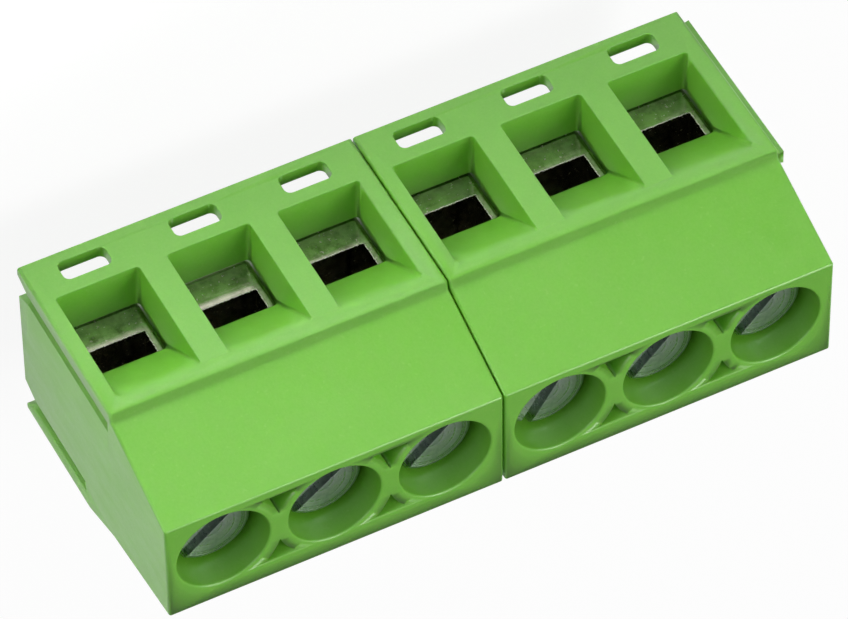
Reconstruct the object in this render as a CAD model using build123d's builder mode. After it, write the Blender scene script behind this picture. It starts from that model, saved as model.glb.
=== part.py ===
"""Screw terminal block for a circuit board: two hooked three-pole modules with rising cage clamps.

Frame, in millimetres: +X along the row, -Y the side that the wires enter, +Z the side of the screws.
The origin is the middle of the row of solder pins, on the surface of the board.
Depths are measured back from the front face, and heights up from the board.
"""
import math
import os
from itertools import cycle

from build123d import *

# Row of poles
pole_pitch = 5.08
poles_per_module = 3
module_count = 2
end_extra = 0.06
module_gap = 0.15

# Side profile of a housing
housing_height = 13.75
front_height = 8.8
ledge_depth = 0.45
ledge_rise = 0.1
ledge_hollow = 0.45
crown_depth = 2.2
crown_round = 0.12
crown_back_depth = 7.65
crown_back_round = 0.5
waist_depth = 8.35
waist_height = 8.5
foot_depth = 9.1
foot_height = 6.1
edge_round = 0.12

# Wire funnels, and the slots and the space behind the skirt below them
funnel_mouth_width = 3.82
funnel_mouth_floor = 2.18
funnel_mouth_roof = 8.12
funnel_throat_width = 3.45
funnel_throat_floor = 2.45
funnel_throat_roof = 5.2
funnel_corner = 0.2
skirt_thickness = 0.6
skirt_space_height = 1.75
skirt_slot_width = 2.18
skirt_slot_foot = 0.5
skirt_slot_height = 1.05
skirt_slot_corner = 0.3
partition_lift = 0.6

# Screw wells, their retaining lips, and the cored triangles between them
screw_depth = 4.72
well_radius = 2.1
lip_height = 0.8
lips = ((155, 1.87), (28, 1.98))
rim_round = 0.06
core_front = 2.65
core_back = 6.65
core_wall = 0.57
core_depth = 2.9

# Clearances
running_gap = 0.08
closed_gap = 0.1
seat_gap = 0.05
thread_gap = 0.05

# Screws
screw_recess = 1.29
head_radius = 1.9
head_height = 1.6
head_round = 0.25
slot_width = 0.58
slot_depth = 0.9
thread_radius = 1.25
point_length = 0.4
well_shoulder = 0.46

# Cage clamps
chamber_front = 1.95
cage_width = 3.5
cage_corner = 0.3
cage_edge_round = 0.1
cage_floor = 1.45
cage_roof = 1.4
window_width = 2.6
window_height = 3.7

# Contacts, each folded from one strip
strip = 0.8
bar_width = 2.4
bar_front = 2.3
bend_inside = 0.3
pin_depth = 7.5
pin_width = 0.9
pin_length = 3.5
pin_shoulder = 0.5
pin_taper = 0.5
pin_tip_width = 0.5
barb_reach = 0.1
barb_rise = 0.5
barb_heights = (1.6, 3.0)

# Rails on the left end of a module, and grooves in its right end that take them
rail_reach = 0.57
rail_root = 0.46
rail_head = 0.7
rail_foot = 0.1
groove_mouth = 0.62
groove_inside = 0.8
groove_floor = 0.5
groove_play = 0.1
lead_in_height = 0.9
front_rail = {"depth": 1.07, "height": 8.45, "lead_in": (0.4, 1.76)}
back_rail = {"depth": 7.9, "height": 5.7, "lead_in": (7.14, 8.74)}

# Window floor and slot angle of each pole as set, from the left
window_heights_set = (3.7, 3.75, 3.6, 3.81, 3.99, 3.87)
slot_angles_set = (48, 47, 58, 44, 38, 41)

# Sizes that follow
front_y = -pin_depth
screw_y = front_y + screw_depth
module_length = poles_per_module * pole_pitch + 2 * end_extra
module_step = module_length + module_gap
head_face = housing_height - screw_recess
well_floor = head_face - head_height - seat_gap
chamber_roof = well_floor - well_shoulder
chamber_width = cage_width + 2 * running_gap
leg_front = pin_depth - strip / 2
leg_back = pin_depth + strip / 2
chamber_back = leg_front - seat_gap
cage_front = chamber_front + running_gap
cage_depth = chamber_back - chamber_front - 2 * running_gap
window_highest = chamber_roof - running_gap - cage_roof - window_height
bar_base = window_highest + closed_gap
bar_top = bar_base + strip
leg_slot_width = bar_width + 2 * seat_gap
leg_slot_back = leg_back + seat_gap
module_centres = [module_step * (m - (module_count - 1) / 2) for m in range(module_count)]
pole_offsets = [pole_pitch * (p - (poles_per_module - 1) / 2) for p in range(poles_per_module)]
wall_offsets = [(a + b) / 2 for a, b in zip(pole_offsets, pole_offsets[1:])]
pole_centres = [centre + offset for centre in module_centres for offset in pole_offsets]


def dovetail(outer_width, inner_width, end_x, reach, depth):
    """Plan of a rail or groove: outer_width at end_x, inner_width at end_x - reach."""
    y = front_y + depth
    return [
        (end_x, y - outer_width / 2),
        (end_x, y + outer_width / 2),
        (end_x - reach, y + inner_width / 2),
        (end_x - reach, y - inner_width / 2),
    ]


# Lips of one well in plan, about its axis
with BuildSketch() as well_lips:
    for angle, distance in lips:
        half_chord = math.sqrt(well_radius**2 - distance**2)
        with BuildLine(Plane.XY.rotated((0, 0, angle))):
            ThreePointArc((distance, -half_chord), (well_radius, 0), (distance, half_chord))
            Line((distance, half_chord), (distance, -half_chord))
        make_face()

# Housing of one module, about the middle of its length
with BuildPart() as housing:
    with BuildSketch(Plane.YZ.offset(-module_length / 2)) as side:
        with BuildLine():
            Polyline(
                (front_y, 0),
                (front_y, front_height),
                (front_y + ledge_depth, front_height + ledge_rise),
                (front_y + crown_depth, housing_height),
                (front_y + crown_back_depth, housing_height),
                (front_y + waist_depth, waist_height),
                (front_y + foot_depth, foot_height),
                (front_y + foot_depth, 0),
                close=True,
            )
        make_face()
        crown = side.vertices().group_by(Axis.Y)[-1].sort_by(Axis.X)
        ledge_corner = side.vertices().sort_by_distance((front_y + ledge_depth, front_height + ledge_rise))[0]
        fillet(crown[0], crown_round)
        fillet(crown[-1], crown_back_round)
        fillet(ledge_corner, ledge_hollow)
    extrude(amount=module_length)
    end_edges = faces().filter_by(Axis.X).edges()
    fillet(end_edges.filter_by(lambda edge: edge.center().Z > edge_round), edge_round)

    # Rails on the left end, and grooves in the right end with a wide foot that leads a rail in
    for rail in (front_rail, back_rail):
        with BuildSketch(Plane.XY.offset(rail_foot)):
            with BuildLine():
                plan = dovetail(rail_root, rail_head, -module_length / 2, rail_reach, rail["depth"])
                Polyline(*plan, close=True)
            make_face()
        extrude(amount=rail["height"] - rail_foot)
        with BuildSketch(Plane.XY):
            with BuildLine():
                plan = dovetail(groove_mouth, groove_inside, module_length / 2, groove_floor, rail["depth"])
                Polyline(*plan, close=True)
            make_face()
        extrude(amount=rail["height"] + groove_play, mode=Mode.SUBTRACT)
        with BuildSketch(Plane.YZ.offset(module_length / 2)):
            with BuildLine():
                Polyline(
                    (front_y + rail["lead_in"][0], 0),
                    (front_y + rail["depth"] - groove_mouth / 2, lead_in_height),
                    (front_y + rail["depth"] + groove_mouth / 2, lead_in_height),
                    (front_y + rail["lead_in"][1], 0),
                    close=True,
                )
            make_face()
        extrude(amount=-groove_floor, mode=Mode.SUBTRACT)

    # Chambers for the cages, the space behind the skirt, and slots for the legs of the contacts
    with BuildSketch(Plane.XY):
        with Locations(*[(x, front_y + (chamber_front + chamber_back) / 2) for x in pole_offsets]):
            Rectangle(chamber_width, chamber_back - chamber_front)
    extrude(amount=chamber_roof, mode=Mode.SUBTRACT)
    with BuildSketch(Plane.XY):
        with Locations(*[(x, front_y + (skirt_thickness + chamber_front) / 2) for x in pole_offsets]):
            Rectangle(chamber_width, chamber_front - skirt_thickness)
    extrude(amount=skirt_space_height, mode=Mode.SUBTRACT)
    with BuildSketch(Plane.XY):
        with Locations((0, front_y + (skirt_thickness + chamber_back) / 2)):
            Rectangle(pole_offsets[-1] - pole_offsets[0] + chamber_width, chamber_back - skirt_thickness)
    extrude(amount=partition_lift, mode=Mode.SUBTRACT)
    with BuildSketch(Plane.XY):
        with Locations(*[(x, front_y + (chamber_back + leg_slot_back) / 2) for x in pole_offsets]):
            Rectangle(leg_slot_width, leg_slot_back - chamber_back)
    extrude(amount=bar_top + seat_gap, mode=Mode.SUBTRACT)

    # Funnels from the front face to the chambers
    for x in pole_offsets:
        with BuildSketch(Plane.XZ.offset(-front_y)):
            with Locations((x, (funnel_mouth_floor + funnel_mouth_roof) / 2)):
                RectangleRounded(funnel_mouth_width, funnel_mouth_roof - funnel_mouth_floor, funnel_corner)
        with BuildSketch(Plane.XZ.offset(-front_y - chamber_front)):
            with Locations((x, (funnel_throat_floor + funnel_throat_roof) / 2)):
                RectangleRounded(funnel_throat_width, funnel_throat_roof - funnel_throat_floor, funnel_corner)
        loft(mode=Mode.SUBTRACT)

    # Rounded slot through the skirt under each funnel
    with BuildSketch(Plane.XZ.offset(-front_y)):
        with Locations(*[(x, skirt_slot_foot + skirt_slot_height / 2) for x in pole_offsets]):
            RectangleRounded(skirt_slot_width, skirt_slot_height, skirt_slot_corner)
    extrude(amount=-skirt_thickness, mode=Mode.SUBTRACT)

    # Screw wells, with flat lips near the rim that keep the heads in, and a shoulder under each head
    with BuildSketch(Plane.XY.offset(housing_height)):
        with Locations(*[(x, screw_y) for x in pole_offsets]):
            Circle(well_radius)
    extrude(amount=well_floor - housing_height, mode=Mode.SUBTRACT)
    top_face = faces().filter_by(Axis.Z).sort_by(Axis.Z)[-1]
    fillet(top_face.inner_wires().edges(), rim_round)
    with BuildSketch(Plane.XY.offset(housing_height - rim_round)):
        with Locations(*[(x, screw_y) for x in pole_offsets]):
            add(well_lips.sketch)
    extrude(amount=-lip_height)
    with BuildSketch(Plane.XY.offset(well_floor)):
        with Locations(*[(x, screw_y) for x in pole_offsets]):
            Circle(thread_radius + running_gap)
    extrude(amount=-well_shoulder, mode=Mode.SUBTRACT)

    # Cored triangles in front of and behind each wall between two wells
    with BuildSketch(Plane.XY.offset(housing_height)):
        with Locations(*[(x, front_y + (core_front + core_back) / 2) for x in wall_offsets]):
            Rectangle(pole_pitch / 2, core_back - core_front)
        with Locations(*[(x, screw_y) for x in pole_offsets]):
            Circle(well_radius + core_wall, mode=Mode.SUBTRACT)
    extrude(amount=-core_depth, mode=Mode.SUBTRACT)

# Cage clamp: a block with a window for the wire and the contact, and a tapped hole, window floor at 0
with BuildPart() as cage:
    with BuildSketch(Plane.XY.offset(-cage_floor)):
        with Locations((0, front_y + cage_front + cage_depth / 2)):
            RectangleRounded(cage_width, cage_depth, cage_corner)
    extrude(amount=cage_floor + window_height + cage_roof)
    fillet(faces().filter_by(Axis.Z).edges(), cage_edge_round)
    with BuildSketch(Plane.XZ.offset(-front_y - cage_front)):
        with Locations((0, window_height / 2)):
            Rectangle(window_width, window_height)
    extrude(amount=-cage_depth, mode=Mode.SUBTRACT)
    with BuildSketch(Plane.XY.offset(window_height)):
        with Locations((0, screw_y)):
            Circle(thread_radius + thread_gap)
    extrude(amount=cage_roof, mode=Mode.SUBTRACT)

# Contact: a bar through the cage, a leg behind the cage with barbs, and a solder pin
with BuildPart() as contact:
    with BuildSketch(Plane.YZ.offset(-bar_width / 2)) as fold:
        with BuildLine():
            Polyline(
                (front_y + bar_front, bar_base),
                (front_y + bar_front, bar_top),
                (front_y + leg_back, bar_top),
                (front_y + leg_back, pin_shoulder),
                (front_y + leg_front, pin_shoulder),
                (front_y + leg_front, bar_base),
                close=True,
            )
        make_face()
        fillet(fold.vertices().sort_by_distance((front_y + leg_back, bar_top))[0], bend_inside + strip)
        fillet(fold.vertices().sort_by_distance((front_y + leg_front, bar_base))[0], bend_inside)
    extrude(amount=bar_width)
    with BuildSketch(Plane.XZ.offset(-front_y - leg_front)):
        with BuildLine():
            Polyline(
                (-pin_width / 2, pin_shoulder),
                (pin_width / 2, pin_shoulder),
                (pin_width / 2, pin_taper - pin_length),
                (pin_tip_width / 2, -pin_length),
                (-pin_tip_width / 2, -pin_length),
                (-pin_width / 2, pin_taper - pin_length),
                close=True,
            )
        make_face()
        for side_x in (-bar_width / 2, bar_width / 2):
            for height in barb_heights:
                tip_x = side_x * (1 + 2 * barb_reach / bar_width)
                with BuildLine():
                    Polyline((side_x, height), (tip_x, height), (side_x, height + barb_rise), close=True)
                make_face()
    extrude(amount=-strip)

# Slotted screw, about its own axis
with BuildPart() as screw:
    with BuildSketch(Plane.XY.offset(head_face)):
        Circle(head_radius)
    extrude(amount=-head_height)
    fillet(faces().sort_by(Axis.Z)[-1].edges(), head_round)
    with BuildSketch(Plane.XY.offset(head_face)):
        Rectangle(3 * head_radius, slot_width)
    extrude(amount=-slot_depth, mode=Mode.SUBTRACT)
    with BuildSketch(Plane.XY.offset(bar_top + seat_gap)):
        Circle(thread_radius)
    extrude(amount=head_face - head_height - bar_top - seat_gap)
    chamfer(faces().sort_by(Axis.Z)[0].edges(), point_length)


def write_piece(piece, name, place):
    """Write one finished piece, moved to its place in the block."""
    with BuildPart() as placed:
        with Locations(place):
            add(piece.part)
    placed.part.label = name
    export_step(placed.part, f"parts/{name}.step")


os.makedirs("parts", exist_ok=True)
for number, x in enumerate(module_centres, start=1):
    write_piece(housing, f"housing_{number}", Location((x, 0, 0)))
settings = zip(pole_centres, cycle(window_heights_set), cycle(slot_angles_set))
for number, (x, window_set, angle) in enumerate(settings, start=1):
    write_piece(cage, f"cage_{number}", Location((x, 0, window_set)))
    write_piece(contact, f"contact_{number}", Location((x, 0, 0)))
    write_piece(screw, f"screw_{number}", Location((x, screw_y, 0), (0, 0, angle)))
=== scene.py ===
"""Looks of the screw terminal block: moulded green housings, plated clamps and screws, and the stage."""

import bmesh
import bpy
import numpy as np
from mathutils import Matrix, Vector


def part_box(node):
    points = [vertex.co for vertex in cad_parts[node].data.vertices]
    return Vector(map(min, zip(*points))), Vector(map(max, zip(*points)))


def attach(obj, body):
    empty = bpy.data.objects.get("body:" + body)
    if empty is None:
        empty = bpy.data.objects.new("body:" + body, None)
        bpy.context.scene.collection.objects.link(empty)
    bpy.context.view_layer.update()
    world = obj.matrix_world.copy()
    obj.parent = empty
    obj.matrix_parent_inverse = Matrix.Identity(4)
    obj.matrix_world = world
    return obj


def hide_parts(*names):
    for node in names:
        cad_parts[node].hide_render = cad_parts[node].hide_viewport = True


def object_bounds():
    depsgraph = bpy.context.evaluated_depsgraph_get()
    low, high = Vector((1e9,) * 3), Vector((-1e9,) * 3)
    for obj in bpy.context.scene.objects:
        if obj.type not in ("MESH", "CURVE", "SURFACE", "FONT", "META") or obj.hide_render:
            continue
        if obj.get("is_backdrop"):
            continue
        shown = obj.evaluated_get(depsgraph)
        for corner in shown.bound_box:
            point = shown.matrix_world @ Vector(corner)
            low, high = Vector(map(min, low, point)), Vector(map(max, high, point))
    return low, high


bl_info = {
    "name": "Screw Terminal Block",
    "version": (1, 0, 0),
    "blender": (4, 5, 0),
    "location": "View3D > Sidebar > Terminal Block",
    "description": "Dresses a screw terminal block in moulded plastic and plated metal, and lights it",
    "category": "Object",
}

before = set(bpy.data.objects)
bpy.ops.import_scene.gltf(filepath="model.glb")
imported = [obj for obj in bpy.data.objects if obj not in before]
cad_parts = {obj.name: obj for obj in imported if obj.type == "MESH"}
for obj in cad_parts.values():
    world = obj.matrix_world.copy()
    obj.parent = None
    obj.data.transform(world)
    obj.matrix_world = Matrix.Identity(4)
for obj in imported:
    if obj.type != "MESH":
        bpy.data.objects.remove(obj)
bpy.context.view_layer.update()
MM = 0.001
HOUSINGS = ("housing_1", "housing_2")
POLES = range(1, 7)
SEED = 7

# Stage, in metres and radians: a lamp over the block, one low at its +X end, and one over the floor in front
KEY_LAMP = (-0.2, -0.1, 0.45)
SIDE_LAMP = (0.45, -0.3, 0.06)
LAMP_SIZE = 0.25
FLOOR_LAMP = (0.02, -0.05, 0.5)
FLOOR_PATCH = (0.02, -0.062, -0.0035)
FLOOR_PATCH_ANGLE = 0.18
FLOOR_PATCH_BLEND = 0.6
FLOOR_LAMP_SIZE = 0.01
FLOOR_HALF = 3.0
FLOOR_COLOUR = (0.88, 0.88, 0.88, 1)
FLOOR_ROUGHNESS = 0.9
FLOOR_WHITE = 0.9  # share of plain white in what the camera sees of the floor
BRIGHT_WAY = (0.25, -0.85, -0.2)  # direction of the bright side of the surroundings
BRIGHT_RANGE = (-0.7, 0.6)  # from dim to bright along that direction
CAMERA_RIGHT = (-0.88958, 0.00791, 0.45671)
CAMERA_DOWN = (0.35406, 0.64364, 0.67850)
SENSOR_WIDTH = 36  # millimetres
NEAR_CLIP = 0.01

# Sizes of the solids that the new pieces sit on, and of the pieces, in millimetres
WINDOW_WIDTH = 2.6
WINDOW_HEIGHT = 3.7
CAGE_FLOOR = 1.45
WELL_RADIUS = 2.115
WELL_DEPTH = 2.9
RIM_ROUND = 0.1
CUTTER_RISE = 1  # of the wells' cutter above the crown
CROWN_DEPTH = 1  # from the top down, where the end face is looked for
END_SLACK = 0.01
END_ZONE = 0.13
END_SHIFT = 0.08
FOOT_ZONE = 0.13
FOOT_SHIFT = 0.22
BURR_WANDER = 0.012
THREAD_RADIUS = 1.25
THREAD_LIFT = 0.003
THREAD_PITCH = 0.45
SCREW_POINT = 0.4
HEAD_HEIGHT = 1.6

# Points along and round the new pieces
RIM_POINTS = 7
WELL_SIDES = 96
BURR_POINTS = 260
BURR_SIDES = 8
THREAD_POINTS = 160
THREAD_SIDES = 48

# Shares of the burr's size: the least radius, and what the smoothed noise adds to it
BURR_LEAST = 0.25
BURR_MORE = 0.55
BURR_SMOOTHING = 5  # points that the noise is averaged over

# Angles in degrees from which an edge of a copy stays sharp
MOULDED_SHARP = 32
PLATED_SHARP = 4

# Scales of the noise in the materials, in cycles per metre, and the range that most of it keeps to
CLOUD_SCALE = 260
FLOW_SCALE = 1400
SPECK_SCALE = 5200
STREAK_SCALE = 9000
WIDE_SCALE = 1500
BLOT_SCALE = 1800
PIT_SCALE = 6500
RING_SCALE = 7000
WOBBLE_SCALE = 2500
TEAR_SCALE = 9000
MOST = (0.3, 0.7)

# Relief of the materials: strength, and depth in metres
SKIN_RELIEF = (0.35, 0.000012)
PLATE_RELIEF = (0.2, 0.000006)
TORN_RELIEF = (0.5, 0.00001)
TINNED_RELIEF = (0.3, 0.00001)
TURNED_RELIEF = (0.5, 0.00002)

# Radius that the light sees at the edges of the metal, in metres
CAGE_EDGE = 0.00004
METAL_EDGE = 0.00006

# Colours of the stains and of the torn metal, and how much rougher tin is than nickel
CAGE_STAIN = (0.2, 0.2, 0.13)
CONTACT_STAIN = (0.5, 0.42, 0.24)
SCREW_STAIN = (0.34, 0.42, 0.38)
TORN_BRIGHT = (0.85, 0.85, 0.78)
TORN_DULL = (0.5, 0.48, 0.4)
TIN_ROUGHER = 0.14


class HousingFinish(bpy.types.PropertyGroup):
    """Colour and surface of the moulded plastic."""

    colour: bpy.props.FloatVectorProperty(
        name="Colour", description="Colour of the moulded plastic",
        subtype="COLOR", size=3, min=0, max=1, default=(0.112, 0.395, 0.011))
    pale_colour: bpy.props.FloatVectorProperty(
        name="Pale colour", description="Colour where the skin has cooled slowly or is rubbed",
        subtype="COLOR", size=3, min=0, max=1, default=(0.165, 0.43, 0.045))
    grain_size: bpy.props.FloatProperty(
        name="Grain", description="Size of the finest grain of the moulded skin",
        subtype="DISTANCE", unit="LENGTH", default=0.00011)
    edge_round: bpy.props.FloatProperty(
        name="Edge round", description="Radius that the light sees at every moulded edge",
        subtype="DISTANCE", unit="LENGTH", default=0.00008)


class MetalFinish(bpy.types.PropertyGroup):
    """Colours of the plated metal, and the burr and thread cut into it."""

    cage_colour: bpy.props.FloatVectorProperty(
        name="Cage colour", description="Colour of the nickel on the cages",
        subtype="COLOR", size=3, min=0, max=1, default=(0.6, 0.6, 0.47))
    screw_colour: bpy.props.FloatVectorProperty(
        name="Screw colour", description="Colour of the zinc on the screws",
        subtype="COLOR", size=3, min=0, max=1, default=(0.55, 0.6, 0.58))
    contact_colour: bpy.props.FloatVectorProperty(
        name="Contact colour", description="Colour of the tin on the contacts",
        subtype="COLOR", size=3, min=0, max=1, default=(0.66, 0.64, 0.58))
    burr: bpy.props.FloatProperty(
        name="Burr", description="Scale of the radius of the burr round a cage's window",
        subtype="DISTANCE", unit="LENGTH", default=0.00006)
    thread_depth: bpy.props.FloatProperty(
        name="Thread depth", description="Height of the screw's thread over its core",
        subtype="DISTANCE", unit="LENGTH", default=0.00004)


class StageLight(bpy.types.PropertyGroup):
    """Lamps, surroundings and camera."""

    key_power: bpy.props.FloatProperty(
        name="Key lamp", description="Power of the lamp above and in front",
        subtype="POWER", unit="POWER", min=0, default=1.7)
    side_power: bpy.props.FloatProperty(
        name="Side lamp", description="Power of the low lamp at the end with the grooves",
        subtype="POWER", unit="POWER", min=0, default=0.8)
    floor_power: bpy.props.FloatProperty(
        name="Floor lamp", description="Power of the lamp over the floor in front of the block",
        subtype="POWER", unit="POWER", min=0, default=56.0)
    world_bright: bpy.props.FloatProperty(
        name="Bright side", description="Strength of the surroundings in front of the funnels",
        min=0, default=0.45)
    world_dim: bpy.props.FloatProperty(
        name="Dim side", description="Strength of the surroundings behind and above",
        min=0, default=0.25)
    camera_position: bpy.props.FloatVectorProperty(
        name="Camera", description="Place of the camera",
        subtype="TRANSLATION", unit="LENGTH", size=3, default=(0.089556, -0.240819, 0.185148))
    focal_length: bpy.props.FloatProperty(
        name="Focal length", description="Focal length of the lens, in millimetres",
        unit="CAMERA", default=315.72)


def add(tree, kind, *values, **settings):
    """A node of the given kind, with its options in settings and its inputs, in order, in values."""
    item = tree.nodes.new(kind)
    for name, value in settings.items():
        setattr(item, name, value)
    for place, value in zip(item.inputs, values):
        connect(tree, value, place)
    return item


def connect(tree, value, place):
    """Links a socket to an input, or writes a plain value there."""
    if isinstance(value, bpy.types.NodeSocket):
        tree.links.new(value, place)
    elif value is not None:
        place.default_value = value


def calculate(tree, operation, *values):
    """Result of a Math node."""
    return add(tree, "ShaderNodeMath", *values, operation=operation).outputs[0]


def weighted(tree, *pairs):
    """Sum of values, each times its weight."""
    total = None
    for value, weight in pairs:
        part = calculate(tree, "MULTIPLY", value, weight)
        total = part if total is None else calculate(tree, "ADD", total, part)
    return total


def object_vector(tree):
    """Place on the object, in metres."""
    return tree.nodes.new("ShaderNodeTexCoord").outputs["Object"]


def noise(tree, vector, scale, detail=2.0, roughness=0.5):
    """Value of a Noise texture at the vector."""
    item = add(tree, "ShaderNodeTexNoise")
    connect(tree, vector, item.inputs["Vector"])
    item.inputs["Scale"].default_value = scale
    item.inputs["Detail"].default_value = detail
    item.inputs["Roughness"].default_value = roughness
    return item.outputs["Fac"]


def spread(tree, value, low, high, to_low=0.0, to_high=1.0):
    """The value moved from one range to another and kept inside it."""
    item = add(tree, "ShaderNodeMapRange", value, low, high, to_low, to_high)
    return item.outputs["Result"]


def blend_colour(tree, share, first, second):
    """Mixture of two colours."""
    item = tree.nodes.new("ShaderNodeMix")
    item.data_type = "RGBA"
    connect(tree, share, item.inputs[0])
    for value, place in ((first, item.inputs[6]), (second, item.inputs[7])):
        connect(tree, (*value, 1) if isinstance(value, tuple) and len(value) == 3 else value, place)
    return item.outputs[2]


def stretched(tree, vector, scale, shift=(0, 0, 0)):
    """The vector through a Mapping node."""
    item = add(tree, "ShaderNodeMapping")
    connect(tree, vector, item.inputs["Vector"])
    item.inputs["Scale"].default_value = scale
    item.inputs["Location"].default_value = shift
    return item.outputs["Vector"]


def new_group(name, outputs):
    """A node group with a Vector input and the named outputs, and its input and output nodes."""
    tree = bpy.data.node_groups.new(name, "ShaderNodeTree")
    tree.interface.new_socket("Vector", in_out="INPUT", socket_type="NodeSocketVector")
    for label, kind in outputs:
        tree.interface.new_socket(label, in_out="OUTPUT", socket_type=kind)
    return tree, tree.nodes.new("NodeGroupInput"), tree.nodes.new("NodeGroupOutput")


def moulded_skin(finish):
    """Group: cloudy colour, satin roughness, and the height of the eroded mould's grain."""
    tree, start, end = new_group("moulded_skin", (
        ("Colour", "NodeSocketColor"), ("Roughness", "NodeSocketFloat"), ("Height", "NodeSocketFloat")))
    vector = start.outputs["Vector"]
    cloud = noise(tree, vector, CLOUD_SCALE, 3)
    flow = noise(tree, stretched(tree, vector, (1, 1, 0.35)), FLOW_SCALE, 3, 0.6)
    grain = noise(tree, vector, 1 / finish.grain_size, 3, 0.65)
    speck = spread(tree, noise(tree, vector, SPECK_SCALE, 1), 0.68, 0.78)
    share = weighted(
        tree, (cloud, 0.45), (flow, 0.4), (speck, 0.5), (spread(tree, grain, *MOST, -0.22, 0.22), 1))
    colour = blend_colour(tree, share, tuple(finish.colour), tuple(finish.pale_colour))
    rough = weighted(
        tree, (spread(tree, flow, *MOST, 0.34, 0.44), 1), (spread(tree, grain, *MOST, -0.04, 0.04), 1))
    height = weighted(tree, (flow, 0.35), (grain, 1))
    tree.links.new(colour, end.inputs["Colour"])
    tree.links.new(rough, end.inputs["Roughness"])
    tree.links.new(height, end.inputs["Height"])
    return tree


def drawn_plate():
    """Group: stain, roughness and height of plated strip, with streaks along X and Y, and pits."""
    tree, start, end = new_group("drawn_plate", (
        ("Stain", "NodeSocketFloat"), ("Roughness", "NodeSocketFloat"), ("Height", "NodeSocketFloat")))
    vector = start.outputs["Vector"]
    streak = noise(tree, stretched(tree, vector, (0.06, 0.06, 1)), STREAK_SCALE, 4, 0.7)
    wide = noise(tree, stretched(tree, vector, (0.2, 0.2, 1)), WIDE_SCALE, 3, 0.6)
    blot = spread(tree, noise(tree, vector, BLOT_SCALE, 4, 0.7), 0.42, 0.7)
    pit = spread(tree, noise(tree, vector, PIT_SCALE, 2), 0.64, 0.74)
    stain = calculate(tree, "MULTIPLY", blot, spread(tree, wide, 0.35, 0.65, 0.4, 1.0))
    rough = weighted(tree, (spread(tree, streak, 0.35, 0.75, 0.06, 0.26), 1), (pit, 0.25))
    height = weighted(tree, (streak, 1), (wide, 1.5), (pit, -1))
    tree.links.new(stain, end.inputs["Stain"])
    tree.links.new(rough, end.inputs["Roughness"])
    tree.links.new(height, end.inputs["Height"])
    return tree


def turned_face():
    """Group: rings round the Z axis that a cutting tool leaves, broken up by scratches."""
    tree, start, end = new_group("turned_face", (
        ("Stain", "NodeSocketFloat"), ("Roughness", "NodeSocketFloat"), ("Height", "NodeSocketFloat")))
    vector = start.outputs["Vector"]
    parts = add(tree, "ShaderNodeSeparateXYZ", vector)
    across = calculate(tree, "MULTIPLY", parts.outputs[0], parts.outputs[0])
    along = calculate(tree, "MULTIPLY", parts.outputs[1], parts.outputs[1])
    radius = calculate(tree, "SQRT", calculate(tree, "ADD", across, along))
    rings = add(tree, "ShaderNodeTexNoise", noise_dimensions="2D")
    line = add(tree, "ShaderNodeCombineXYZ", radius, calculate(tree, "MULTIPLY", parts.outputs[2], 0.25))
    tree.links.new(line.outputs[0], rings.inputs["Vector"])
    rings.inputs["Scale"].default_value = RING_SCALE
    rings.inputs["Detail"].default_value = 3
    wobble = noise(tree, vector, WOBBLE_SCALE, 3, 0.6)
    ring = rings.outputs["Fac"]
    rough = weighted(
        tree, (spread(tree, ring, *MOST, 0.2, 0.42), 1), (spread(tree, wobble, *MOST, -0.05, 0.08), 1))
    height = weighted(tree, (ring, 1), (wobble, 0.4))
    tree.links.new(spread(tree, wobble, 0.4, 0.75), end.inputs["Stain"])
    tree.links.new(rough, end.inputs["Roughness"])
    tree.links.new(height, end.inputs["Height"])
    return tree


def new_material(name):
    """A node material that shows one Principled shader, with its tree and the shader."""
    material = bpy.data.materials.new(name)
    material.use_nodes = True
    tree = material.node_tree
    tree.nodes.clear()
    output = tree.nodes.new("ShaderNodeOutputMaterial")
    shader = tree.nodes.new("ShaderNodeBsdfPrincipled")
    tree.links.new(shader.outputs["BSDF"], output.inputs["Surface"])
    return material, tree, shader


def seen_rays(tree):
    """1 for rays that show the background: from the camera, off gloss or through glass."""
    rays = tree.nodes.new("ShaderNodeLightPath")
    seen = calculate(tree, "MAXIMUM", rays.outputs["Is Camera Ray"], rays.outputs["Is Glossy Ray"])
    return calculate(tree, "MAXIMUM", seen, rays.outputs["Is Transmission Ray"])


def use_group(tree, group, vector):
    """A node that runs the group at the vector."""
    item = add(tree, "ShaderNodeGroup", node_tree=group)
    tree.links.new(vector, item.inputs["Vector"])
    return item


def relief(tree, shader, height, strength, distance, normal=None):
    """Puts a bump with the given height on the shader, over the given normal."""
    bump = tree.nodes.new("ShaderNodeBump")
    bump.inputs["Strength"].default_value = strength
    bump.inputs["Distance"].default_value = distance
    tree.links.new(height, bump.inputs["Height"])
    if normal:
        tree.links.new(normal, bump.inputs["Normal"])
    tree.links.new(bump.outputs["Normal"], shader.inputs["Normal"])


def soft_edges(tree, radius):
    """Normal of the surface with its edges rounded to the radius."""
    item = add(tree, "ShaderNodeBevel", samples=4)
    item.inputs["Radius"].default_value = radius
    return item.outputs["Normal"]


def dress(node, material):
    """Gives every material slot of a CAD node the material."""
    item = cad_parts[node]
    if not item.material_slots:
        item.data.materials.append(material)
    for slot in item.material_slots:
        slot.material = material


def build_piece(name, points, faces, body, material):
    """Makes an object of the points, in millimetres, and the faces, and lets it ride on the body."""
    mesh = bpy.data.meshes.new(name)
    mesh.from_pydata((points * MM).tolist(), [], faces.tolist())
    mesh.polygons.foreach_set("use_smooth", np.full(len(faces), True))
    mesh.materials.append(material)
    mesh.update()
    piece = bpy.data.objects.new(name, mesh)
    bpy.context.scene.collection.objects.link(piece)
    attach(piece, body)
    return piece


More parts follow.
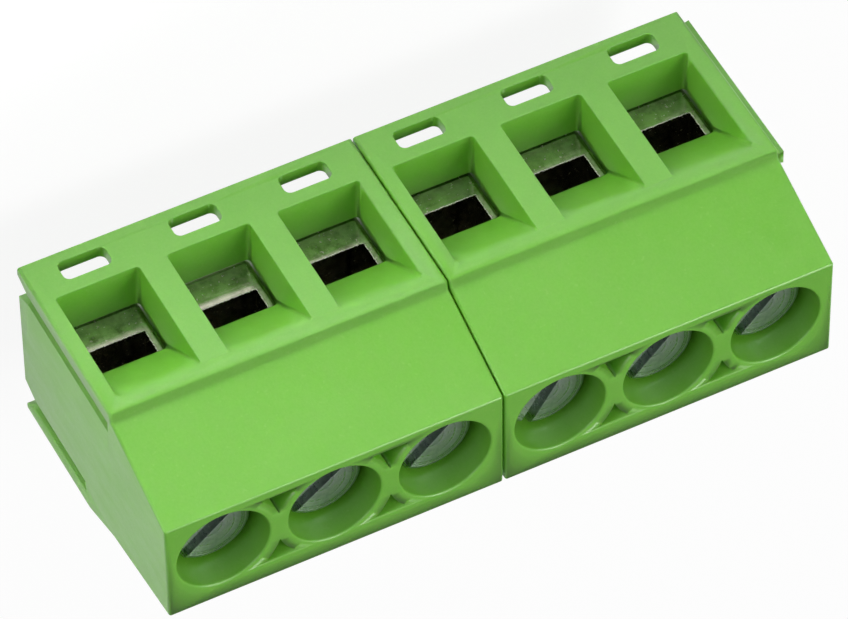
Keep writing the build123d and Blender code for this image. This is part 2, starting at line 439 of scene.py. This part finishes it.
def grid_faces(rows, columns):
    """Four-cornered faces of a grid of points that closes round its columns."""
    row, column = np.meshgrid(np.arange(rows - 1), np.arange(columns), indexing="ij")
    after = (column + 1) % columns
    corners = (
        row * columns + column, row * columns + after,
        (row + 1) * columns + after, (row + 1) * columns + column)
    return np.stack([corner.ravel() for corner in corners], axis=1)


def copy_solid(node, name):
    """Object of the name with a copy of a CAD node's mesh, its doubled points joined."""
    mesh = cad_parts[node].data.copy()
    mesh.name = name
    shape = bmesh.new()
    shape.from_mesh(mesh)
    bmesh.ops.remove_doubles(shape, verts=shape.verts, dist=1e-7)
    shape.to_mesh(mesh)
    shape.free()
    piece = bpy.data.objects.new(name, mesh)
    bpy.context.scene.collection.objects.link(piece)
    return piece


def read_points(mesh):
    """Points of a mesh, in millimetres."""
    points = np.empty(len(mesh.vertices) * 3)
    mesh.vertices.foreach_get("co", points)
    return points.reshape(-1, 3) / MM


def write_points(mesh, points):
    """Moves a mesh to points in millimetres."""
    mesh.vertices.foreach_set("co", (points * MM).ravel())
    mesh.update()


def finish_copy(piece, node, body, material, sharp_angle):
    """Gives a copy the shading, material, body and slot with which it replaces its node."""
    mesh = piece.data
    mesh.materials.clear()
    mesh.materials.append(material)
    mesh.polygons.foreach_set("use_smooth", np.full(len(mesh.polygons), True))
    mesh.set_sharp_from_angle(angle=np.radians(sharp_angle))
    even = piece.modifiers.new("normals", "WEIGHTED_NORMAL")
    even.keep_sharp = True
    even.weight = 100
    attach(piece, body)
    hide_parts(node)


class TERMINAL_OT_housings(bpy.types.Operator):
    """Give both housings their moulded green plastic"""

    bl_idname = "terminal.housings"
    bl_label = "Housings"

    def execute(self, context):
        finish = context.scene.terminal_housing
        material, tree, shader = new_material("moulded_green")
        skin = use_group(tree, moulded_skin(finish), object_vector(tree))
        tree.links.new(skin.outputs["Colour"], shader.inputs["Base Color"])
        tree.links.new(skin.outputs["Roughness"], shader.inputs["Roughness"])
        relief(tree, shader, skin.outputs["Height"], *SKIN_RELIEF, soft_edges(tree, finish.edge_round))
        shader.inputs["Specular IOR Level"].default_value = 0.75
        shader.inputs["IOR"].default_value = 1.6
        shader.inputs["Subsurface Weight"].default_value = 0.25
        shader.inputs["Subsurface Radius"].default_value = (0.5, 1.0, 0.12)
        shader.inputs["Subsurface Scale"].default_value = 0.0003
        for number, node in enumerate(HOUSINGS, start=1):
            dress(node, material)
            self.bore_wells(context, node, f"moulding_{number}", material)
        return {"FINISHED"}

    def close_seam(self, mesh):
        """Moves the -X end of a housing's copy outwards, which thins the joint between the housings."""
        points = read_points(mesh)
        crown = points[points[:, 2] > points[:, 2].max() - CROWN_DEPTH]
        end = crown[:, 0].min()
        zone = (points[:, 0] > end - END_SLACK) & (points[:, 0] < end + END_ZONE)
        points[zone, 0] -= END_SHIFT
        write_points(mesh, points)

    def bore_wells(self, context, node, name, material):
        """Copy of a housing from which a cylinder below a quarter-round rim is cut at each well."""
        piece = copy_solid(node, name)
        self.close_seam(piece.data)
        low, high = (np.array(corner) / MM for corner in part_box(node))
        turn = np.linspace(0, np.pi / 2, RIM_POINTS)
        rim = np.stack([
            WELL_RADIUS + RIM_ROUND * (1 - np.cos(turn)), high[2] - RIM_ROUND * (1 - np.sin(turn))], axis=1)
        profile = np.array([
            (WELL_RADIUS, high[2] - WELL_DEPTH), *rim, (WELL_RADIUS + RIM_ROUND, high[2] + CUTTER_RISE)])
        angle = np.linspace(0, 2 * np.pi, WELL_SIDES, endpoint=False)
        points = []
        faces = []
        for pole in POLES:
            first, last = (np.array(corner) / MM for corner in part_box(f"screw_{pole}"))
            centre = (first + last) / 2
            if not low[0] < centre[0] < high[0]:
                continue
            start = sum(len(part) for part in points)
            ring = np.stack([
                centre[0] + profile[:, :1] * np.cos(angle), centre[1] + profile[:, :1] * np.sin(angle),
                np.repeat(profile[:, 1:], len(angle), axis=1)], axis=2)
            points.append(ring.reshape(-1, 3))
            rows = len(profile)
            faces += (grid_faces(rows, len(angle)) + start).tolist()
            faces.append([start + index for index in reversed(range(len(angle)))])
            faces.append([start + (rows - 1) * len(angle) + index for index in range(len(angle))])
        cutter_mesh = bpy.data.meshes.new("cutter")
        cutter_mesh.from_pydata((np.concatenate(points) * MM).tolist(), [], faces)
        cutter = bpy.data.objects.new("cutter", cutter_mesh)
        context.scene.collection.objects.link(cutter)
        cut = piece.modifiers.new("wells", "BOOLEAN")
        cut.operation = "DIFFERENCE"
        cut.solver = "EXACT"
        cut.object = cutter
        bored = bpy.data.meshes.new_from_object(piece.evaluated_get(context.evaluated_depsgraph_get()))
        piece.modifiers.clear()
        piece.data = bored
        bpy.data.objects.remove(cutter)
        finish_copy(piece, node, "block", material, MOULDED_SHARP)


class TERMINAL_OT_cages(bpy.types.Operator):
    """Give the cages their nickel, with streaks, stains and a burr round each window"""

    bl_idname = "terminal.cages"
    bl_label = "Cages"

    def execute(self, context):
        finish = context.scene.terminal_metal
        material, tree, shader = new_material("nickel_plate")
        plate = use_group(tree, drawn_plate(), object_vector(tree))
        colour = blend_colour(tree, plate.outputs["Stain"], tuple(finish.cage_colour), CAGE_STAIN)
        tree.links.new(colour, shader.inputs["Base Color"])
        tree.links.new(plate.outputs["Roughness"], shader.inputs["Roughness"])
        shader.inputs["Metallic"].default_value = 1
        relief(tree, shader, plate.outputs["Height"], *PLATE_RELIEF, soft_edges(tree, CAGE_EDGE))
        burr_metal, tree, shader = new_material("torn_nickel")
        tear = noise(tree, object_vector(tree), TEAR_SCALE, 3)
        tree.links.new(blend_colour(tree, tear, TORN_BRIGHT, TORN_DULL), shader.inputs["Base Color"])
        tree.links.new(spread(tree, tear, *MOST, 0.1, 0.4), shader.inputs["Roughness"])
        shader.inputs["Metallic"].default_value = 1
        relief(tree, shader, tear, *TORN_RELIEF)
        for pole in POLES:
            dress(f"cage_{pole}", material)
            self.deepen_foot(pole, material)
            self.add_burr(pole, finish.burr / MM, burr_metal)
        return {"FINISHED"}

    def deepen_foot(self, pole, material):
        """Copy of a cage whose foot reaches lower, so that no light shows under it through the funnel."""
        node = f"cage_{pole}"
        piece = copy_solid(node, f"cage_body_{pole}")
        points = read_points(piece.data)
        foot = points[:, 2] < points[:, 2].min() + FOOT_ZONE
        points[foot, 2] -= FOOT_SHIFT
        write_points(piece.data, points)
        finish_copy(piece, node, f"clamp_cage_{pole}", material, PLATED_SHARP)

    def add_burr(self, pole, thickness, material):
        """Bead along three front edges of the window, whose radius and place wander as a torn edge does."""
        low, high = (np.array(corner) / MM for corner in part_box(f"cage_{pole}"))
        middle = (low[0] + high[0]) / 2
        floor = low[2] + CAGE_FLOOR
        half = WINDOW_WIDTH / 2
        corners = np.array([
            (middle - half, low[1], floor + WINDOW_HEIGHT),
            (middle - half, low[1], floor),
            (middle + half, low[1], floor),
            (middle + half, low[1], floor + WINDOW_HEIGHT)])
        legs = np.linalg.norm(np.diff(corners, axis=0), axis=1)
        reach = np.concatenate([[0], np.cumsum(legs)])
        steps = np.linspace(0, reach[-1], BURR_POINTS)
        line = np.stack([np.interp(steps, reach, corners[:, axis]) for axis in range(3)], axis=1)
        draw = np.random.default_rng(SEED + pole)
        kernel = np.ones(BURR_SMOOTHING) / BURR_SMOOTHING
        rough = np.convolve(draw.random(len(steps) + BURR_SMOOTHING - 1), kernel, "valid")
        radius = thickness * (BURR_LEAST + BURR_MORE * rough)
        side = draw.normal(0, BURR_WANDER, len(steps))
        angle = np.linspace(0, 2 * np.pi, BURR_SIDES, endpoint=False)
        along = np.gradient(line, axis=0)
        along /= np.linalg.norm(along, axis=1)[:, None]
        out = np.array((0.0, -1.0, 0.0))
        across = np.cross(along, out)
        centre = line + across * side[:, None]
        ring = np.cos(angle)[None, :, None] * across[:, None, :] + np.sin(angle)[None, :, None] * out
        points = centre[:, None, :] + ring * radius[:, None, None]
        build_piece(f"burr_{pole}", points.reshape(-1, 3), grid_faces(len(steps), len(angle)),
                    f"clamp_cage_{pole}", material)


class TERMINAL_OT_contacts(bpy.types.Operator):
    """Give the contacts their tinned brass"""

    bl_idname = "terminal.contacts"
    bl_label = "Contacts"

    def execute(self, context):
        finish = context.scene.terminal_metal
        material, tree, shader = new_material("tinned_brass")
        plate = use_group(tree, bpy.data.node_groups["drawn_plate"], object_vector(tree))
        colour = blend_colour(tree, plate.outputs["Stain"], tuple(finish.contact_colour), CONTACT_STAIN)
        rough = calculate(tree, "ADD", plate.outputs["Roughness"], TIN_ROUGHER)
        tree.links.new(colour, shader.inputs["Base Color"])
        tree.links.new(rough, shader.inputs["Roughness"])
        shader.inputs["Metallic"].default_value = 1
        relief(tree, shader, plate.outputs["Height"], *TINNED_RELIEF, soft_edges(tree, METAL_EDGE))
        for pole in POLES:
            dress(f"contact_{pole}", material)
        return {"FINISHED"}


class TERMINAL_OT_screws(bpy.types.Operator):
    """Give the screws their turned and zinc plated steel, and cut their threads"""

    bl_idname = "terminal.screws"
    bl_label = "Screws"

    def execute(self, context):
        finish = context.scene.terminal_metal
        turned = turned_face()
        for pole in POLES:
            low, high = (np.array(corner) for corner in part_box(f"screw_{pole}"))
            centre = (low + high) / 2
            material, tree, shader = new_material(f"zinc_{pole}")
            about = stretched(tree, object_vector(tree), (1, 1, 1), (-centre[0], -centre[1], 0))
            face = use_group(tree, turned, about)
            colour = blend_colour(tree, face.outputs["Stain"], tuple(finish.screw_colour), SCREW_STAIN)
            tree.links.new(colour, shader.inputs["Base Color"])
            tree.links.new(face.outputs["Roughness"], shader.inputs["Roughness"])
            shader.inputs["Metallic"].default_value = 1
            relief(tree, shader, face.outputs["Height"], *TURNED_RELIEF, soft_edges(tree, METAL_EDGE))
            dress(f"screw_{pole}", material)
            self.cut_thread(pole, low / MM, high / MM, finish.thread_depth / MM, material)
        return {"FINISHED"}

    def cut_thread(self, pole, low, high, depth, material):
        """Sleeve on the shank: its ridge winds round as a triangle wave, and fades out at both ends."""
        centre = (low + high) / 2
        height = np.linspace(low[2] + SCREW_POINT, high[2] - HEAD_HEIGHT, THREAD_POINTS)
        angle = np.linspace(0, 2 * np.pi, THREAD_SIDES, endpoint=False)
        tall, around = np.meshgrid(height, angle, indexing="ij")
        turn = (tall / THREAD_PITCH - around / (2 * np.pi)) % 1
        wave = 1 - np.abs(2 * turn - 1)
        fade = np.clip(np.minimum(tall - height[0], height[-1] - tall) / THREAD_PITCH, 0, 1)
        radius = THREAD_RADIUS + THREAD_LIFT + depth * wave * fade
        points = np.stack([
            centre[0] + radius * np.cos(around), centre[1] + radius * np.sin(around), tall], axis=2)
        build_piece(f"thread_{pole}", points.reshape(-1, 3), grid_faces(len(height), len(angle)),
                    f"clamp_screw_{pole}", material)


class TERMINAL_OT_stage(bpy.types.Operator):
    """Lay the floor, set the lamps and surroundings, and place the camera"""

    bl_idname = "terminal.stage"
    bl_label = "Stage"

    def execute(self, context):
        light = context.scene.terminal_stage
        context.scene.view_settings.view_transform = "Standard"
        self.lay_floor(context)
        self.light_round(context, light)
        for name, power, place in (
            ("key_lamp", light.key_power, KEY_LAMP),
            ("side_lamp", light.side_power, SIDE_LAMP),
        ):
            lamp = bpy.data.lights.new(name, "AREA")
            lamp.energy = power
            lamp.size = LAMP_SIZE
            item = bpy.data.objects.new(name, lamp)
            context.scene.collection.objects.link(item)
            item.location = place
            item.rotation_euler = (-Vector(place)).to_track_quat("-Z", "Y").to_euler()
        self.light_floor(context, light)
        self.place_camera(context, light)
        return {"FINISHED"}

    def light_floor(self, context, light):
        """Narrow lamp over the floor in front of the block, towards its +X end."""
        lamp = bpy.data.lights.new("floor_lamp", "SPOT")
        lamp.energy = light.floor_power
        lamp.spot_size = FLOOR_PATCH_ANGLE
        lamp.spot_blend = FLOOR_PATCH_BLEND
        lamp.shadow_soft_size = FLOOR_LAMP_SIZE
        item = bpy.data.objects.new("floor_lamp", lamp)
        context.scene.collection.objects.link(item)
        item.location = FLOOR_LAMP
        item.rotation_euler = (Vector(FLOOR_PATCH) - Vector(FLOOR_LAMP)).to_track_quat("-Z", "Y").to_euler()

    def lay_floor(self, context):
        """White floor under the pins, seen as plain white apart from a trace of the object's shadow."""
        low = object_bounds()[0][2]
        ways = ((-1, -1), (1, -1), (1, 1), (-1, 1))
        corners = [(across * FLOOR_HALF, along * FLOOR_HALF, low) for across, along in ways]
        mesh = bpy.data.meshes.new("floor")
        mesh.from_pydata(corners, [], [(0, 1, 2, 3)])
        floor = bpy.data.objects.new("floor", mesh)
        context.scene.collection.objects.link(floor)
        floor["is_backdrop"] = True
        material, tree, shader = new_material("white_floor")
        shader.inputs["Base Color"].default_value = FLOOR_COLOUR
        shader.inputs["Roughness"].default_value = FLOOR_ROUGHNESS
        seen = calculate(tree, "MULTIPLY", seen_rays(tree), FLOOR_WHITE)
        glow = tree.nodes.new("ShaderNodeEmission")
        mix = add(tree, "ShaderNodeMixShader", seen, shader.outputs[0], glow.outputs[0])
        tree.links.new(mix.outputs[0], tree.get_output_node("ALL").inputs["Surface"])
        mesh.materials.append(material)

    def light_round(self, context, light):
        """Light from all round, brighter in front of the funnels, and white where the camera sees it."""
        world = bpy.data.worlds.new("surroundings")
        context.scene.world = world
        world.use_nodes = True
        tree = world.node_tree
        tree.nodes.clear()
        place = tree.nodes.new("ShaderNodeTexCoord")
        side = add(
            tree, "ShaderNodeVectorMath", place.outputs["Generated"], BRIGHT_WAY, operation="DOT_PRODUCT")
        strength = spread(tree, side.outputs["Value"], *BRIGHT_RANGE, light.world_dim, light.world_bright)
        rays = tree.nodes.new("ShaderNodeLightPath")
        strength = calculate(tree, "MAXIMUM", strength, rays.outputs["Is Camera Ray"])
        back = add(tree, "ShaderNodeBackground", (1, 1, 1, 1), strength)
        output = tree.nodes.new("ShaderNodeOutputWorld")
        tree.links.new(back.outputs[0], output.inputs["Surface"])

    def place_camera(self, context, light):
        """Camera at the photograph's viewing angle, from its right and down directions."""
        right = np.array(CAMERA_RIGHT)
        down = np.array(CAMERA_DOWN)
        right /= np.linalg.norm(right)
        down -= right * (down @ right)
        down /= np.linalg.norm(down)
        data = bpy.data.cameras.new("camera")
        data.lens = light.focal_length
        data.sensor_fit = "HORIZONTAL"
        data.sensor_width = SENSOR_WIDTH
        data.clip_start = NEAR_CLIP
        camera = bpy.data.objects.new("camera", data)
        context.scene.collection.objects.link(camera)
        turn = np.eye(4)
        turn[:3, :3] = np.stack([right, -down, -np.cross(right, down)], axis=1)
        turn[:3, 3] = light.camera_position
        camera.matrix_world = Matrix(turn.tolist())
        context.scene.camera = camera


class TERMINAL_PT_panel(bpy.types.Panel):
    """Lists the steps that dress the block"""

    bl_idname = "TERMINAL_PT_panel"
    bl_label = "Terminal Block"
    bl_space_type = "VIEW_3D"
    bl_region_type = "UI"
    bl_category = "Terminal Block"

    def draw(self, context):
        for operator in OPERATORS:
            self.layout.operator(operator.bl_idname)


OPERATORS = (
    TERMINAL_OT_housings, TERMINAL_OT_cages, TERMINAL_OT_contacts, TERMINAL_OT_screws, TERMINAL_OT_stage)
SETTINGS = {"terminal_housing": HousingFinish, "terminal_metal": MetalFinish, "terminal_stage": StageLight}
CLASSES = (*SETTINGS.values(), *OPERATORS, TERMINAL_PT_panel)


def register():
    for item in CLASSES:
        bpy.utils.register_class(item)
    for name, group in SETTINGS.items():
        setattr(bpy.types.Scene, name, bpy.props.PointerProperty(type=group))


def unregister():
    for name in SETTINGS:
        delattr(bpy.types.Scene, name)
    for item in reversed(CLASSES):
        bpy.utils.unregister_class(item)


def main():
    register()
    bpy.ops.terminal.housings()
    bpy.ops.terminal.cages()
    bpy.ops.terminal.contacts()
    bpy.ops.terminal.screws()
    bpy.ops.terminal.stage()


if __name__ == "__main__":
    main()
